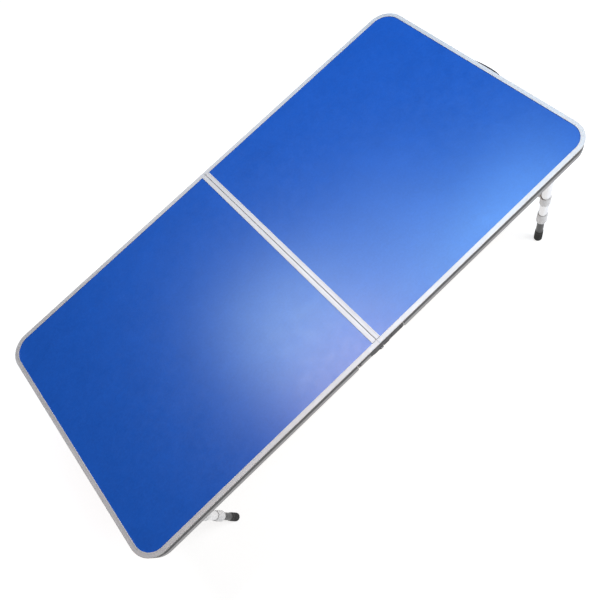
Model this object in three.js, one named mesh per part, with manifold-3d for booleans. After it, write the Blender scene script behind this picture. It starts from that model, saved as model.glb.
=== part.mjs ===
// Folding suitcase table: two aluminium-edged laminate tops hinged at a centre seam, with a telescopic
// leg pair and a wire brace under each half. Millimetres, +Z up. The table stands on z = 0, its length
// runs along X and its near side faces -Y. It is drawn unfolded, with the legs down and retracted.

import * as THREE from 'three';
import { mergeVertices } from 'three/addons/utils/BufferGeometryUtils.js';
import Module from 'manifold-3d';

const wasm = await Module();
wasm.setup();

// ---------------------------------------------------------------- driving dimensions
const HALF_LENGTH = 600;        // one half, from the seam to its outer end
const HALF_WIDTH = 300;
const HEIGHT = 360;             // floor to the top of the edge rail, legs retracted
const CORNER_R = 50;
const ARC_STEPS = 7;            // per corner
const ROUND = 16;               // sides of a round bar or bore
const RAIL_DEPTH = 29.7;        // edge rail height; the fold axis lies just below it
const FOLD_Z = HEIGHT - 30;
const SEAM_GAP = 0.3;           // each half stops this far from the fold plane
const LIP_W = 10;               // visible rail lip around the laminate
const LIP_T = 1.2;
const BOARD = { inset: 2.7, top: -1.5, bottom: -4.8 };
const WEB = { outer: 2.4, inner: 4.2 };
const CLEAR = 0.3;              // gap kept between pieces that touch

const LEG_X = 510;              // leg pivots, from the seam
const PIVOT_DROP = 17.4;        // leg pivot below the top
const LEG_Y = { left: 246, right: 272 };   // the left pair nests inside the right pair when folded
const HEAD_R = 12;
const UPPER = { r: 10, bore: 8.9, top: HEIGHT - 31.8, bottom: 100 };
const LOWER = { r: 8.5, bore: 7.3, top: 320, bottom: 10.4 };
const COLLAR = { bottom: 93, top: 130 };
const FOOT = { r: 10, tread: 8, height: 42 };
const BOLT_R = 4;

const BRACE_X = 338;            // brace pivots, from the seam
const BRACE_DROP = 8.5;
const BRACE_ANGLE = THREE.MathUtils.degToRad(40);   // below level when the legs are down
const BRACE_Y = 200;
const WIRE_R = 3;
const BRACE_BEND = 7;
const CROSSBAR_R = 6;
const CROSSBAR_OUT = 4;         // crossbar centre, outward of the leg's centre line
const CLIP_W = 18;
const CLIP_WALL = 2.2;

const HANDLE = {
  x: 605.2, drop: 22, halfWidth: 45, reach: 34, strap: 7, depth: 9, droop: 45,
  pin: 2.2, back: HALF_LENGTH - 2.1, rise: 6,
};
const CLASP = { y: 170, drop: 14, length: 28, inner: 600.4, outer: 602 };
const KEEPER_DROP = 18;
const STUD_END = 603.1;

const droop = THREE.MathUtils.degToRad(HANDLE.droop);
const handleEnd = HANDLE.x + HANDLE.reach * Math.cos(droop) + HANDLE.depth / 2 * Math.sin(droop);
const SEAM_X = (STUD_END - handleEnd) / 2;          // centres the whole object on x = 0

// The brace's cross wire rests on the upper outer side of the crossbar.
const wireOffset = CROSSBAR_R + WIRE_R + 0.5;
const braceLength = (LEG_X + CROSSBAR_OUT + wireOffset * Math.sin(BRACE_ANGLE) - BRACE_X)
  / Math.cos(BRACE_ANGLE);
const wireX = BRACE_X + braceLength * Math.cos(BRACE_ANGLE);
const wireZ = HEIGHT - BRACE_DROP - braceLength * Math.sin(BRACE_ANGLE);
const crossbarX = LEG_X + CROSSBAR_OUT;
const crossbarZ = wireZ - wireOffset * Math.cos(BRACE_ANGLE);

// ---------------------------------------------------------------- materials
const finish = {
  laminate: { color: 0x2c62c4, roughness: 0.42, metalness: 0 },
  rail: { color: 0xd6d7dc, roughness: 0.35, metalness: 1 },
  tube: { color: 0xdadcdf, roughness: 0.3, metalness: 1 },
  blackTube: { color: 0x242223, roughness: 0.5, metalness: 0 },
  blackPlastic: { color: 0x2a2728, roughness: 0.6, metalness: 0 },
  greyPlastic: { color: 0x4c4a50, roughness: 0.6, metalness: 0 },
  palePlastic: { color: 0xe4e4e6, roughness: 0.5, metalness: 0 },
  steel: { color: 0xb4b7bc, roughness: 0.3, metalness: 1 },
};

// ---------------------------------------------------------------- geometry helpers
function solid(geometry) {
  const bare = geometry.clone();
  bare.deleteAttribute('normal');
  bare.deleteAttribute('uv');
  const merged = mergeVertices(bare, 1e-4);
  return new wasm.Manifold(new wasm.Mesh({
    numProp: 3,
    vertProperties: new Float32Array(merged.attributes.position.array),
    triVerts: new Uint32Array(merged.index.array),
  }));
}

function geometryOf(manifold) {
  const mesh = manifold.getMesh();
  const geometry = new THREE.BufferGeometry();
  geometry.setAttribute('position', new THREE.BufferAttribute(mesh.vertProperties, 3));
  geometry.setIndex(new THREE.BufferAttribute(mesh.triVerts, 1));
  geometry.computeVertexNormals();
  return geometry;
}

const join = (...parts) => geometryOf(parts.map(solid).reduce((a, b) => a.add(b)));
const cut = (body, ...tools) => geometryOf(tools.map(solid).reduce((a, b) => a.subtract(b), solid(body)));
const keep = (body, region) => geometryOf(solid(body).intersect(solid(region)));

// A box from two opposite corners, in any order.
function box([x0, y0, z0], [x1, y1, z1]) {
  const shape = new THREE.BoxGeometry(Math.abs(x1 - x0), Math.abs(y1 - y0), Math.abs(z1 - z0));
  return shape.translate((x0 + x1) / 2, (y0 + y1) / 2, (z0 + z1) / 2);
}

// A straight round bar between two points.
function bar(from, to, radius, sides = ROUND) {
  const a = new THREE.Vector3(...from);
  const b = new THREE.Vector3(...to);
  const along = b.clone().sub(a);
  const direction = along.clone().normalize();
  const turn = new THREE.Quaternion().setFromUnitVectors(new THREE.Vector3(0, 1, 0), direction);
  const shape = new THREE.CylinderGeometry(radius, radius, along.length(), sides);
  return shape.applyQuaternion(turn).translate(...a.add(b).multiplyScalar(0.5).toArray());
}

// A turned body about the vertical line through x, y, from its closed [radius, z] profile.
function turned(profile, x, y, sides = ROUND) {
  const points = [...profile, profile[0]].map(([r, z]) => new THREE.Vector2(r, z));
  return new THREE.LatheGeometry(points, sides).rotateX(Math.PI / 2).translate(x, y, 0);
}

const pipe = (x, y, z0, z1, r, bore) => turned([[bore, z0], [r, z0], [r, z1], [bore, z1]], x, y);

function extruded(shape, z0, z1) {
  const options = { depth: z1 - z0, bevelEnabled: false, curveSegments: ARC_STEPS };
  return new THREE.ExtrudeGeometry(shape, options).translate(0, 0, z0);
}

// A route whose spaced points are exactly the given points.
class Route extends THREE.Curve {
  constructor(points) {
    super();
    this.points = points;
  }

  getPoint(t) {
    const place = Math.min(t, 1) * (this.points.length - 1);
    const i = Math.min(Math.floor(place), this.points.length - 2);
    return this.points[i].clone().lerp(this.points[i + 1], place - i);
  }

  getPointAt(t) {
    return this.getPoint(t);
  }

  getTangentAt(t) {
    return this.getTangent(t);
  }
}

// Round wire bent along corner points, with each inner corner rounded.
function wire(corners, radius, bend) {
  const at = corners.map((p) => new THREE.Vector3(...p));
  const route = at.flatMap((p, i) => {
    if (i === 0 || i === at.length - 1) return [p];
    const [before, after] = [at[i - 1], at[i + 1]].map(
      (q) => p.clone().add(q.clone().sub(p).setLength(bend)));
    return new THREE.QuadraticBezierCurve3(before, p, after).getPoints(4);
  });
  const section = new THREE.Shape(new THREE.EllipseCurve(0, 0, radius, radius).getPoints(10).slice(0, -1));
  const options = { steps: route.length - 1, extrudePath: new Route(route), bevelEnabled: false };
  return new THREE.ExtrudeGeometry(section, options);
}

// Half a table outline, open at the seam, set in from the outer edge.
function halfOutline(side, inset, seamInset) {
  const path = new THREE.Path();
  const r = CORNER_R - inset;
  const cx = HALF_LENGTH - CORNER_R;
  const cy = HALF_WIDTH - CORNER_R;
  path.moveTo(seamInset, inset - HALF_WIDTH);
  path.lineTo(cx, inset - HALF_WIDTH);
  path.absarc(cx, -cy, r, -Math.PI / 2, 0, false);
  path.absarc(cx, cy, r, 0, Math.PI / 2, false);
  path.lineTo(seamInset, HALF_WIDTH - inset);
  return path.getPoints(ARC_STEPS).map((p) => new THREE.Vector2(side * p.x, p.y));
}

function bandLayer(side, outerInset, innerInset, low, high) {
  const outer = halfOutline(side, outerInset, SEAM_GAP);
  const inner = halfOutline(side, innerInset, SEAM_GAP).reverse();
  return extruded(new THREE.Shape([...outer, ...inner]), HEIGHT + low, HEIGHT + high);
}

// ---------------------------------------------------------------- scene helpers
const table = new THREE.Group();
table.position.x = SEAM_X;

function add(name, geometry, look, parent = table) {
  const mesh = new THREE.Mesh(geometry, new THREE.MeshStandardMaterial(finish[look]));
  mesh.name = name;
  parent.add(mesh);
  return mesh;
}

// ---------------------------------------------------------------- tops and rails
const SHELF = { top: -5, bottom: -6.5 };         // carries the board
const FLANGE = { top: -27.5, width: 7 };        // turned in at the foot of the rail
const NOTCH = { x: 21.5, z: HEIGHT - 24.5, y: HALF_WIDTH - 10.1 };   // room for the hinge blocks

function edgeRail(side) {
  const layers = join(
    bandLayer(side, 0, LIP_W, -LIP_T, 0),
    bandLayer(side, 0, WEB.outer, SHELF.top, -LIP_T),
    bandLayer(side, 0, LIP_W - 0.1, SHELF.bottom, SHELF.top),
    bandLayer(side, WEB.outer, WEB.inner, FLANGE.top, SHELF.bottom),
    bandLayer(side, WEB.outer, FLANGE.width, -RAIL_DEPTH, FLANGE.top),
  );
  const notches = [-1, 1].map((end) => box(
    [0, end * NOTCH.y, 0], [side * NOTCH.x, end * (HALF_WIDTH + 1), NOTCH.z]));
  return cut(layers, ...notches);
}

function seamRail(side) {
  const run = HALF_WIDTH - LIP_W - 0.2;
  const bars = [
    [LIP_W + SEAM_GAP, -LIP_T, 0],
    [2.1, -RAIL_DEPTH, 0],
    [LIP_W, SHELF.bottom, SHELF.top],
    [8, -RAIL_DEPTH, 1.5 - RAIL_DEPTH],
  ];
  return join(...bars.map(([x, low, high]) => box(
    [side * SEAM_GAP, -run, HEIGHT + low], [side * x, run, HEIGHT + high])));
}

function board(side) {
  const shape = new THREE.Shape(halfOutline(side, BOARD.inset, 2.4));
  return extruded(shape, HEIGHT + BOARD.bottom, HEIGHT + BOARD.top);
}

// ---------------------------------------------------------------- seam hinges
const HINGE = {
  plateIn: HALF_WIDTH - 2, plateOut: HALF_WIDTH - 0.7, blockOut: HALF_WIDTH - 0.4,
  top: HEIGHT - 7.5, shoulder: HEIGHT - 24.4, blockLow: HEIGHT - 24.9, plateLow: HEIGHT - 26.5,
  blockEnd: 21, plateEnd: 60, barrel: 5, pin: 2,
};
const OUTER_KNUCKLE = { in: HALF_WIDTH - 4, out: HALF_WIDTH - 0.4, clear: 3 };
const INNER_KNUCKLE = { in: HALF_WIDTH - 9.7, out: HALF_WIDTH - 4.3, clear: 6 };

// The left leaf carries the outer knuckle and the right leaf the inner one.
function hingeLeaf(side, end) {
  const knuckle = side < 0 ? OUTER_KNUCKLE : INNER_KNUCKLE;
  const lug = FOLD_Z + 0.4;
  const at = (x, y, z) => [side * x, end * y, z];
  const leaf = join(
    box(at(HINGE.blockEnd, HINGE.plateIn, HINGE.plateLow), at(HINGE.plateEnd, HINGE.plateOut, HINGE.top)),
    box(at(0.4, HINGE.plateIn, HINGE.shoulder), at(HINGE.blockEnd, HINGE.blockOut, HINGE.top)),
    box(at(knuckle.clear, HINGE.plateIn, HINGE.blockLow), at(HINGE.blockEnd, HINGE.blockOut, HINGE.shoulder)),
    box(at(knuckle.clear, knuckle.in, lug), at(HINGE.blockEnd, HINGE.blockOut, HINGE.blockLow)),
    box(at(2.5, knuckle.in, lug), at(knuckle.clear + 1, knuckle.out, FOLD_Z + HINGE.barrel)),
    bar(at(0, knuckle.in, FOLD_Z), at(0, knuckle.out, FOLD_Z), HINGE.barrel),
  );
  return cut(leaf, bar(at(0, 289, FOLD_Z), at(0, 301, FOLD_Z), HINGE.pin + CLEAR));
}

function hingePin(end) {
  return bar([0, end * INNER_KNUCKLE.in, FOLD_Z], [0, end * OUTER_KNUCKLE.out, FOLD_Z], HINGE.pin);
}

// ---------------------------------------------------------------- leg hardware
const PIVOT_Z = HEIGHT - PIVOT_DROP;
const BRACKET = {
  top: HEIGHT - 6.8, bottom: HEIGHT - 26.8, back: HALF_WIDTH - WEB.inner - CLEAR,
  seamward: 34, outward: 20,      // reach each way from the pivot
};

// Block screwed to the inside of the rail, with a wall that stops the leg just past upright.
function legBracket(side, end, legY) {
  const gap = HEAD_R + 0.4;
  const face = legY + gap;
  const corner = [side * (LEG_X + BRACKET.outward), end * BRACKET.back, BRACKET.top];
  const at = (x, y, z) => [side * x, end * y, z];
  const body = join(
    box(at(LEG_X - BRACKET.seamward, face, BRACKET.bottom), corner),
    box(at(LEG_X + gap, legY - HEAD_R, BRACKET.bottom), corner),
  );
  return cut(body, bar(at(LEG_X, face - 1, PIVOT_Z), at(LEG_X, HALF_WIDTH + 1, PIVOT_Z), BOLT_R + CLEAR));
}

function pivotBolt(side, end, legY) {
  const at = (y) => [side * LEG_X, end * y, PIVOT_Z];
  return join(
    bar(at(legY - 15.4), at(legY - 12.4), 7, 6),
    bar(at(legY - 13), at(BRACKET.back - 0.2), BOLT_R),
  );
}

function legHead(side, end, legY) {
  const x = side * LEG_X;
  const y = end * legY;
  const body = join(
    bar([x, y - HEAD_R, PIVOT_Z], [x, y + HEAD_R, PIVOT_Z], HEAD_R),
    bar([x, y, PIVOT_Z - 45], [x, y, PIVOT_Z], HEAD_R),
  );
  return cut(
    body,
    bar([x, y - 13, PIVOT_Z], [x, y + 13, PIVOT_Z], BOLT_R + CLEAR),
    bar([x, y, PIVOT_Z - 46], [x, y, UPPER.top + CLEAR], UPPER.r + CLEAR),
  );
}

// Cross tube with a sleeve at each end that grips the upper tubes.
function crossbar(side, legY) {
  const ends = [-1, 1];
  const tube = bar([side * crossbarX, -legY, crossbarZ], [side * crossbarX, legY, crossbarZ], CROSSBAR_R);
  const sleeve = (end, low, high, r) => bar(
    [side * LEG_X, end * legY, low], [side * LEG_X, end * legY, high], r);
  const bosses = ends.map((end) => bar(
    [side * crossbarX, end * (legY - 34), crossbarZ], [side * crossbarX, end * (legY - 5), crossbarZ],
    CROSSBAR_R + 2));
  return cut(
    join(tube, ...bosses, ...ends.map((end) => sleeve(end, crossbarZ - 14, crossbarZ + 14, HEAD_R))),
    ...ends.map((end) => sleeve(end, crossbarZ - 15, crossbarZ + 15, UPPER.r + CLEAR)),
  );
}

// Tapered twist-lock sleeve at the lower end of the upper tube.
function twistCollar(x, y) {
  return turned([
    [LOWER.r + CLEAR, COLLAR.bottom], [11, COLLAR.bottom], [12, COLLAR.bottom + 3], [12, COLLAR.bottom + 20],
    [11.1, COLLAR.top], [UPPER.r + CLEAR, COLLAR.top],
    [UPPER.r + CLEAR, UPPER.bottom - CLEAR], [LOWER.r + CLEAR, UPPER.bottom - CLEAR],
  ], x, y);
}

function foot(x, y) {
  return turned([
    [0, 0], [FOOT.tread, 0], [FOOT.r, 2.5], [FOOT.r, 32], [9.5, FOOT.height], [LOWER.r + CLEAR, FOOT.height],
    [LOWER.r + CLEAR, LOWER.bottom - CLEAR], [0, LOWER.bottom - CLEAR],
  ], x, y);
}

// ---------------------------------------------------------------- brace
function wireBrace(side) {
  const pivotZ = HEIGHT - BRACE_DROP;
  const point = (x, y, z) => [side * x, y, z];
  const route = [
    point(BRACE_X, -BRACE_Y - 18, pivotZ), point(BRACE_X, -BRACE_Y, pivotZ), point(wireX, -BRACE_Y, wireZ),
    point(wireX, BRACE_Y, wireZ), point(BRACE_X, BRACE_Y, pivotZ), point(BRACE_X, BRACE_Y + 18, pivotZ),
  ];
  return wire(route, WIRE_R, BRACE_BEND);
}

function braceSaddle(side, end) {
  const z = HEIGHT - BRACE_DROP;
  const at = (x, y, zz) => [side * x, end * y, zz];
  return cut(
    box(at(BRACE_X - 9, BRACE_Y + 8, z - 5.6), at(BRACE_X + 9, BRACE_Y + 16, HEIGHT - 5)),
    bar(at(BRACE_X, BRACE_Y, z), at(BRACE_X, BRACE_Y + 20, z), WIRE_R + CLEAR),
  );
}

// Snap clip round the crossbar, with an open mouth that the brace's cross wire leaves outward.
function braceClip(side) {
  const mouth = THREE.MathUtils.degToRad(20);
  const disc = (x, z, r, half) => bar([side * x, -half, z], [side * x, half, z], r);
  const body = join(
    disc(crossbarX, crossbarZ, CROSSBAR_R + CLIP_WALL, CLIP_W / 2),
    disc(wireX, wireZ, WIRE_R + CLIP_WALL, CLIP_W / 2),
  );
  const slot = new THREE.BoxGeometry(14, CLIP_W + 2, 2 * (WIRE_R + 0.4)).translate(7, 0, 0).rotateY(-mouth);
  if (side < 0) slot.rotateZ(Math.PI);
  slot.translate(side * wireX, 0, wireZ);
  const limit = box(
    [side * (LEG_X - 20), -CLIP_W, crossbarZ - 20],
    [side * (LEG_X + HEAD_R + 0.2), CLIP_W, crossbarZ + 30],
  );
  const bores = [
    disc(crossbarX, crossbarZ, CROSSBAR_R + CLEAR, CLIP_W),
    disc(wireX, wireZ, WIRE_R + 0.4, CLIP_W),
  ];
  return keep(cut(body, ...bores, slot), limit);
}

// ---------------------------------------------------------------- carry handle and clasps
// Arched bail with a pin at each end, drawn level about its own pivot line.
function handleBail() {
  const arch = (reach, width) => (
    new THREE.EllipseCurve(0, 0, reach, width, -Math.PI / 2, Math.PI / 2).getPoints(12));
  const outline = [...arch(HANDLE.reach, HANDLE.halfWidth),
    ...arch(HANDLE.reach - HANDLE.strap, HANDLE.halfWidth - HANDLE.strap).reverse()];
  const strap = extruded(new THREE.Shape(outline), -HANDLE.depth / 2, HANDLE.depth / 2);
  const ends = [-1, 1].flatMap((end) => [
    bar([0, end * (HANDLE.halfWidth - HANDLE.strap), 0], [0, end * HANDLE.halfWidth, 0], 4.5),
    bar([0, end * (HANDLE.halfWidth - 1), 0], [0, end * (HANDLE.halfWidth + 6), 0], HANDLE.pin),
  ]);
  return join(keep(strap, box([0, -60, -10], [60, 60, 10])), ...ends);
}

// Back plate in the rail's recess with a lug at each end for the bail's pins.
function handleBase() {
  const z = HEIGHT - HANDLE.drop;
  const [low, high] = [z - HANDLE.rise, z + HANDLE.rise];
  const lugs = [-1, 1].map((end) => box(
    [HANDLE.back, end * (HANDLE.halfWidth + 0.5), low],
    [HANDLE.x + 4, end * (HANDLE.halfWidth + 7), high],
  ));
  const plateEnd = HANDLE.halfWidth + 20;
  const plate = box([HANDLE.back, -plateEnd, low], [HALF_LENGTH - 0.5, plateEnd, high]);
  const boreEnd = HANDLE.halfWidth + 8;
  return cut(
    join(plate, ...lugs),
    bar([HANDLE.x, -boreEnd, z], [HANDLE.x, boreEnd, z], HANDLE.pin + CLEAR),
  );
}

// Swinging hook plate, stowed level and pointing to the middle of the end rail.
function clasp(end) {
  const y = end * CLASP.y;
  const z = HEIGHT - CLASP.drop;
  const tip = y - end * CLASP.length;
  const across = (yy, zz, r) => bar([CLASP.inner, yy, zz], [CLASP.outer, yy, zz], r);
  const through = (yy, zz, r) => bar([CLASP.inner - 1, yy, zz], [CLASP.outer + 1, yy, zz], r);
  const plate = join(
    box([CLASP.inner, y, z - 5.5], [CLASP.outer, tip, z + 5.5]),
    across(y, z, 5.5),
    across(tip, z, 5.5),
  );
  return cut(plate, through(y, z, 2.3), through(tip, z, 2.4),
    box([CLASP.inner - 1, tip - 2.4, z - 6], [CLASP.outer + 1, tip + 2.4, z]));
}

// A headed stud standing on the outside of an end rail.
function stud(side, end, drop) {
  const at = (x) => [side * x, end * CLASP.y, HEIGHT - drop];
  return join(
    bar(at(HALF_LENGTH - 2.2), at(STUD_END), 1.8, 12),
    bar(at(CLASP.outer + CLEAR), at(STUD_END), 3.6, 12),
  );
}

// ---------------------------------------------------------------- assembly
for (const [hand, side] of [['left', -1], ['right', 1]]) {
  const legY = LEG_Y[hand];
  add(`${hand}_top_board`, board(side), 'laminate');
  add(`${hand}_edge_rail`, edgeRail(side), 'rail');
  add(`${hand}_seam_rail`, seamRail(side), 'rail');
  add(`${hand}_crossbar`, crossbar(side, legY), 'tube');
  add(`${hand}_brace`, wireBrace(side), 'steel');
  add(`${hand}_brace_clip`, braceClip(side), 'blackPlastic');
  for (const [place, end] of [['near', -1], ['far', 1]]) {
    const x = side * LEG_X;
    const y = end * legY;
    const name = (piece) => `${hand}_${place}_${piece}`;
    add(name('hinge_leaf'), hingeLeaf(side, end), 'blackPlastic');
    add(name('brace_saddle'), braceSaddle(side, end), 'blackPlastic');
    add(name('leg_bracket'), legBracket(side, end, legY), 'greyPlastic');
    add(name('leg_pivot_bolt'), pivotBolt(side, end, legY), 'steel');
    add(name('leg_head'), legHead(side, end, legY), 'greyPlastic');
    add(name('upper_tube'), pipe(x, y, UPPER.bottom, UPPER.top, UPPER.r, UPPER.bore), 'tube');
    add(name('twist_collar'), twistCollar(x, y), 'palePlastic');
    add(name('lower_tube'), pipe(x, y, LOWER.bottom, LOWER.top, LOWER.r, LOWER.bore), 'blackTube');
    add(name('foot'), foot(x, y), 'blackPlastic');
  }
}

for (const [place, end] of [['near', -1], ['far', 1]]) {
  add(`${place}_hinge_pin`, hingePin(end), 'steel');
  add(`${place}_clasp`, clasp(end), 'steel');
  add(`${place}_clasp_rivet`, stud(1, end, CLASP.drop), 'steel');
  add(`${place}_clasp_keeper`, stud(-1, end, KEEPER_DROP), 'steel');
}

add('handle_base', handleBase(), 'blackPlastic');
const handle = add('carry_handle', handleBail(), 'blackPlastic');
handle.position.set(HANDLE.x, 0, HEIGHT - HANDLE.drop);
handle.rotation.y = droop;

export default table;
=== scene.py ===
"""Looks of the folding suitcase table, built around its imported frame.

Blender works in metres, +Z up. Shapes here are drawn in table millimetres: x from the seam,
y across the table, z above the floor. Half shapes are drawn for x > 0 and mirrored.
"""

import functools
import math
import operator

import bmesh
import bpy
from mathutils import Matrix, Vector


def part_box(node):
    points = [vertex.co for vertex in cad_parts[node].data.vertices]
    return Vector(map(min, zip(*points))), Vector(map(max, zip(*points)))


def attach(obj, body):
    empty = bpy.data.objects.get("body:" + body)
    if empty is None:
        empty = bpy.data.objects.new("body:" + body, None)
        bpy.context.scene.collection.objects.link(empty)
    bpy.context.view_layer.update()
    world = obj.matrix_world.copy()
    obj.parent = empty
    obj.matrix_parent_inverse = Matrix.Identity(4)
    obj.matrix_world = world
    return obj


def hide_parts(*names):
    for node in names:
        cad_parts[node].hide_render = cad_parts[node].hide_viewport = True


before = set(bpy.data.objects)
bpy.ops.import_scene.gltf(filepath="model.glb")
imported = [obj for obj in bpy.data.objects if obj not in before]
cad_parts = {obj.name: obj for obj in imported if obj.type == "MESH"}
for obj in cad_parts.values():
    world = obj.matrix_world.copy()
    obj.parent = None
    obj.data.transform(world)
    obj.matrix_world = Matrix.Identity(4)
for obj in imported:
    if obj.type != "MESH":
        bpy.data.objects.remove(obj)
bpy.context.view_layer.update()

MM = 0.001
pin_low, pin_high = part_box("near_hinge_pin")
SEAM_X = (pin_low.x + pin_high.x) / 2

HALF_LENGTH, HALF_WIDTH, HEIGHT = 600.0, 300.0, 360.0
CORNER_R, CORNER_STEPS = 50.0, 20
SEAM_GAP = 0.3
FOLD_Z = HEIGHT - 30
LEG_X, LEG_Y = 510.0, {"left": 246.0, "right": 272.0}
UPPER_LOW, COLLAR_LOW = 100.0, 93.0     # lower ends of the upper leg tube and its twist collar
PIVOT_Z = HEIGHT - 17.4
BRACKET_BACK = 295.5
HEAD_R = 12.0
BRACE_X, BRACE_Y, BRACE_Z = 338.0, 200.0, HEIGHT - 8.5
WIRE_R = 3.0
HANDLE_X, HANDLE_Z, HANDLE_HALF, HANDLE_REACH = 605.2, HEIGHT - 22, 45.0, 34.0
HANDLE_STRAP, HANDLE_DEPTH, HANDLE_DROOP = 7.0, 9.0, math.radians(45)
CAMERA_PLACE, CAMERA_TURN = (-0.1258, -0.6479, 1.4307), (22.2875, 14.7181, -41.4944)    # metres, degrees
CAMERA_LENS, CAMERA_SHIFT = 35.3587, (-0.01954, -0.01353)
HALVES = (("left", -1), ("right", 1))
ENDS = (("near", -1), ("far", 1))
X, Y, Z = Vector((1, 0, 0)), Vector((0, 1, 0)), Vector((0, 0, 1))


def middle(node):
    """The centre of a CAD node's box, in table millimetres."""
    lo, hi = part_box(node)
    centre = (lo + hi) / 2 / MM
    return Vector((centre.x - SEAM_X / MM, centre.y, centre.z))


# ---------------------------------------------------------------- shapes
class Shape:
    """Vertices in table millimetres, faces, and a material number for each face."""

    def __init__(self, verts, faces, paints=None):
        self.verts = [Vector(v) for v in verts]
        self.faces = [list(f) for f in faces]
        self.paints = paints or [0] * len(self.faces)

    def __add__(self, other):
        first = len(self.verts)
        faces = self.faces + [[first + i for i in f] for f in other.faces]
        return Shape(self.verts + other.verts, faces, self.paints + other.paints)

    def paint(self, number, test=lambda centre: True):
        """Gives a material number to the faces whose centre passes the test."""
        for i, face in enumerate(self.faces):
            if test(sum((self.verts[j] for j in face), Vector()) / len(face)):
                self.paints[i] = number
        return self

    def placed(self, side=1, end=1):
        """The shape, mirrored across the seam or the length where side or end is -1."""
        verts = [(side * v.x, end * v.y, v.z) for v in self.verts]
        return Shape(verts, self.faces, list(self.paints))


def from_bmesh(bm):
    bm.verts.index_update()
    shape = Shape([v.co for v in bm.verts], [[v.index for v in f.verts] for f in bm.faces])
    bm.free()
    return shape


def block(lo, hi, radius, segments=3):
    """A box from two opposite corners, with rounded edges."""
    bm = bmesh.new()
    bmesh.ops.create_cube(bm, size=1)
    for v in bm.verts:
        v.co = [min(a, b) + (c + 0.5) * abs(b - a) for a, b, c in zip(lo, hi, v.co)]
    bmesh.ops.bevel(bm, geom=bm.edges[:], offset=radius, segments=segments, profile=0.5,
                    affect="EDGES", clamp_overlap=True)
    return from_bmesh(bm)


def prism(outline, origin, across, up, low, high, radius=0.0, segments=2):
    """An outline drawn along across and up, carried from low to high along their cross product."""
    along = across.cross(up)
    bm = bmesh.new()
    rims = [[bm.verts.new(Vector(origin) + a * across + b * up + level * along) for a, b in outline]
            for level in (low, high)]
    for rim in rims:
        bm.faces.new(rim)
    for i in range(len(outline)):
        j = (i + 1) % len(outline)
        bm.faces.new((rims[0][i], rims[0][j], rims[1][j], rims[1][i]))
    if radius:
        edges = [e for e in bm.edges if any(all(v in rim for v in e.verts) for rim in rims)]
        bmesh.ops.bevel(bm, geom=edges, offset=radius, segments=segments, profile=0.5,
                        affect="EDGES", clamp_overlap=True)
    return from_bmesh(bm)


def turned(profile, origin=(0, 0, 0), axis=Z, sides=48, radius_at=lambda r, h, a: r):
    """A turned body from (radius, height) points: a closed ring, unless both ends are on the axis."""
    turn = Z.rotation_difference(axis).to_matrix()
    rings, verts = [], []
    for r, h in profile:
        count = sides if r > 1e-6 else 1
        rings.append([len(verts) + k % count for k in range(sides)])
        for k in range(count):
            a = 2 * math.pi * k / sides
            rr = radius_at(r, h, a)
            verts.append(turn @ Vector((rr * math.cos(a), rr * math.sin(a), h)) + Vector(origin))
    open_run = profile[0][0] < 1e-6 and profile[-1][0] < 1e-6
    faces = []
    for i in range(len(rings) - open_run):
        a, b = rings[i], rings[(i + 1) % len(rings)]
        for k in range(sides):
            m = (k + 1) % sides
            face = list(dict.fromkeys((a[k], a[m], b[m], b[k])))
            if len(face) > 2:
                faces.append(face)
    return Shape(verts, faces)


def fillet(points, radii, steps=4):
    """A closed outline with each corner rounded, to one radius or to its own."""
    if isinstance(radii, (int, float)):
        radii = [radii] * len(points)
    out = []
    for i, (point, r) in enumerate(zip(points, radii)):
        p = Vector(point)
        a, b = Vector(points[i - 1]) - p, Vector(points[(i + 1) % len(points)]) - p
        limit = 0.48 * min(a.length, b.length)
        a.normalize()
        b.normalize()
        half = math.acos(max(-1.0, min(1.0, a.dot(b)))) / 2
        if r <= 0 or half > math.radians(88):
            out.append(tuple(p))
            continue
        back = min(r / math.tan(half), limit)
        r = back * math.tan(half)
        centre = p + (a + b).normalized() * (r / math.sin(half))
        start, end = p + a * back - centre, p + b * back - centre
        turn = math.atan2(start.x * end.y - start.y * end.x, start.dot(end))
        for k in range(steps + 1):
            c, s = math.cos(turn * k / steps), math.sin(turn * k / steps)
            out.append((centre.x + start.x * c - start.y * s, centre.y + start.x * s + start.y * c))
    return out


def swept(stations):
    """A skin over rings of equal length, closed by a flat cap at each end."""
    n = len(stations[0])
    faces = [[s * n + i, s * n + (i + 1) % n, (s + 1) * n + (i + 1) % n, (s + 1) * n + i]
             for s in range(len(stations) - 1) for i in range(n)]
    faces += [list(range(n)), [(len(stations) - 1) * n + i for i in range(n)]]
    return Shape([v for ring in stations for v in ring], faces)


def tube_along(points, section):
    """A section of (a, b) points carried along a route."""
    points = [Vector(p) for p in points]
    last = len(points) - 1
    tangents = [(points[min(i + 1, last)] - points[max(i - 1, 0)]).normalized() for i in range(last + 1)]
    normal = tangents[0].orthogonal().normalized()
    stations = []
    for p, t in zip(points, tangents):
        normal = (normal - t * normal.dot(t)).normalized()
        other = t.cross(normal)
        stations.append([p + normal * a + other * b for a, b in section])
    return swept(stations)


def circle(radius, sides=20):
    return [(radius * math.cos(2 * math.pi * k / sides), radius * math.sin(2 * math.pi * k / sides))
            for k in range(sides)]


def rounded_route(corners, bend, steps=8):
    """The points of a route whose inner corners are rounded to a bend radius."""
    corners = [Vector(c) for c in corners]
    route = [corners[0]]
    for before, p, after in zip(corners, corners[1:], corners[2:]):
        a, b = (before - p).normalized(), (after - p).normalized()
        half = math.acos(max(-1.0, min(1.0, a.dot(b)))) / 2
        back = bend / math.tan(half)
        centre = p + (a + b).normalized() * (bend / math.sin(half))
        start, end = p + a * back - centre, p + b * back - centre
        for k in range(steps + 1):
            route.append(centre + start.slerp(end, k / steps))
    return route + [corners[-1]]


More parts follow.
